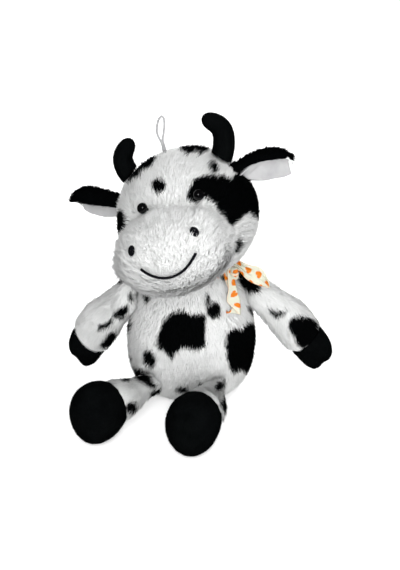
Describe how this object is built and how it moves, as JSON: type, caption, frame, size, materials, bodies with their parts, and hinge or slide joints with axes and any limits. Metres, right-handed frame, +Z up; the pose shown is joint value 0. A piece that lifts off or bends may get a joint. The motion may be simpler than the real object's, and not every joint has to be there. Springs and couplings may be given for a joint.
{
  "type": "plush cow",
  "caption": "Sitting plush cow with a round leaning head, broad muzzle, curved horns, folded ears, velour hooves, a neck ribbon with loose tails, a tail and a hang loop.",
  "frame": {"origin": "middle of the flat seat under the torso, where it rests on the floor", "axes": "+Z up; the cow faces -Y and its left side is +X"},
  "size_m": [0.2755, 0.2777, 0.3005],
  "materials": {
    "white_fur": "long white plush pile with black spots",
    "black_velour": "short black velour",
    "stuffing": "polyester fibre fill",
    "eye_plastic": "gloss black",
    "washer_plastic": "natural plastic",
    "ear_lining": "short white velour",
    "ribbon_satin": "cream ribbon with orange hearts",
    "black_thread": "embroidery thread",
    "loop_cord": "thin white cord"
  },
  "bodies": {
    "torso": {"torso_front_left_panel": "white_fur", "torso_front_right_panel": "white_fur", "torso_back_panel": "white_fur", "torso_stuffing": "stuffing", "ribbon_collar": "ribbon_satin", "ribbon_knot": "ribbon_satin", "ribbon_tail_down": "ribbon_satin", "ribbon_tail_side": "ribbon_satin"},
    "head": {"head_front_panel": "white_fur", "head_back_panel": "white_fur", "head_stuffing": "stuffing", "muzzle_panel": "white_fur", "muzzle_stuffing": "stuffing", "eye_left": "eye_plastic", "eye_right": "eye_plastic", "eye_washer_left": "washer_plastic", "eye_washer_right": "washer_plastic", "nostril_left": "black_thread", "nostril_right": "black_thread", "mouth_stitching": "black_thread", "horn_left": "black_velour", "horn_right": "black_velour", "hang_loop": "loop_cord"},
    "ear_left": {"ear_left_back": "black_velour", "ear_left_lining": "ear_lining"},
    "ear_right": {"ear_right_back": "black_velour", "ear_right_lining": "ear_lining"},
    "arm_left": {"arm_left_sleeve": "white_fur", "arm_left_hoof": "black_velour", "arm_left_stuffing": "stuffing"},
    "arm_right": {"arm_right_sleeve": "white_fur", "arm_right_hoof": "black_velour", "arm_right_stuffing": "stuffing"},
    "leg_left": {"leg_left_sleeve": "white_fur", "leg_left_hoof": "black_velour", "leg_left_stuffing": "stuffing"},
    "leg_right": {"leg_right_sleeve": "white_fur", "leg_right_hoof": "black_velour", "leg_right_stuffing": "stuffing"},
    "tail": {"tail_cord": "white_fur", "tail_tuft": "black_velour"}
  },
  "joints": [
    {"name": "head_turn", "type": "hinge", "parent": "torso", "child": "head", "pos_m": [-0.0036, -0.01, 0.202], "axis": [-0.3028, 0.2316, 0.9245], "range_deg": [-25, 25], "stiffness_Nm_per_rad": 0.2, "springref_deg": 2.06},
    {"name": "arm_left_raise", "type": "hinge", "parent": "torso", "child": "arm_left", "pos_m": [0.06582, 0, 0.10623], "axis": [0, -1, 0], "range_deg": [0, 70], "stiffness_Nm_per_rad": 0.05},
    {"name": "arm_right_raise", "type": "hinge", "parent": "torso", "child": "arm_right", "pos_m": [-0.06582, 0, 0.10623], "axis": [0, 1, 0], "range_deg": [0, 70], "stiffness_Nm_per_rad": 0.05},
    {"name": "leg_left_spread", "type": "hinge", "parent": "torso", "child": "leg_left", "pos_m": [0.02512, -0.05773, 0.0316], "axis": [0, 0, 1], "range_deg": [0, 70], "stiffness_Nm_per_rad": 0.05},
    {"name": "leg_right_spread", "type": "hinge", "parent": "torso", "child": "leg_right", "pos_m": [-0.0515, -0.04242, 0.0316], "axis": [0, 0, -1], "range_deg": [-15, 20], "stiffness_Nm_per_rad": 0.05},
    {"name": "ear_left_flap", "type": "hinge", "parent": "head", "child": "ear_left", "pos_m": [0.04757, -0.02947, 0.24908], "axis": [0.1238, -0.0919, -0.988], "range_deg": [0, 35], "stiffness_Nm_per_rad": 0.01},
    {"name": "ear_right_flap", "type": "hinge", "parent": "head", "child": "ear_right", "pos_m": [-0.07483, 0.00585, 0.20174], "axis": [-0.2283, 0.1245, 0.9656], "range_deg": [0, 35], "stiffness_Nm_per_rad": 0.01},
    {"name": "tail_swing", "type": "hinge", "parent": "torso", "child": "tail", "pos_m": [0, 0.05847, 0.03481], "axis": [0, 0, 1], "range_deg": [-40, 40], "stiffness_Nm_per_rad": 0.01}
  ]
}
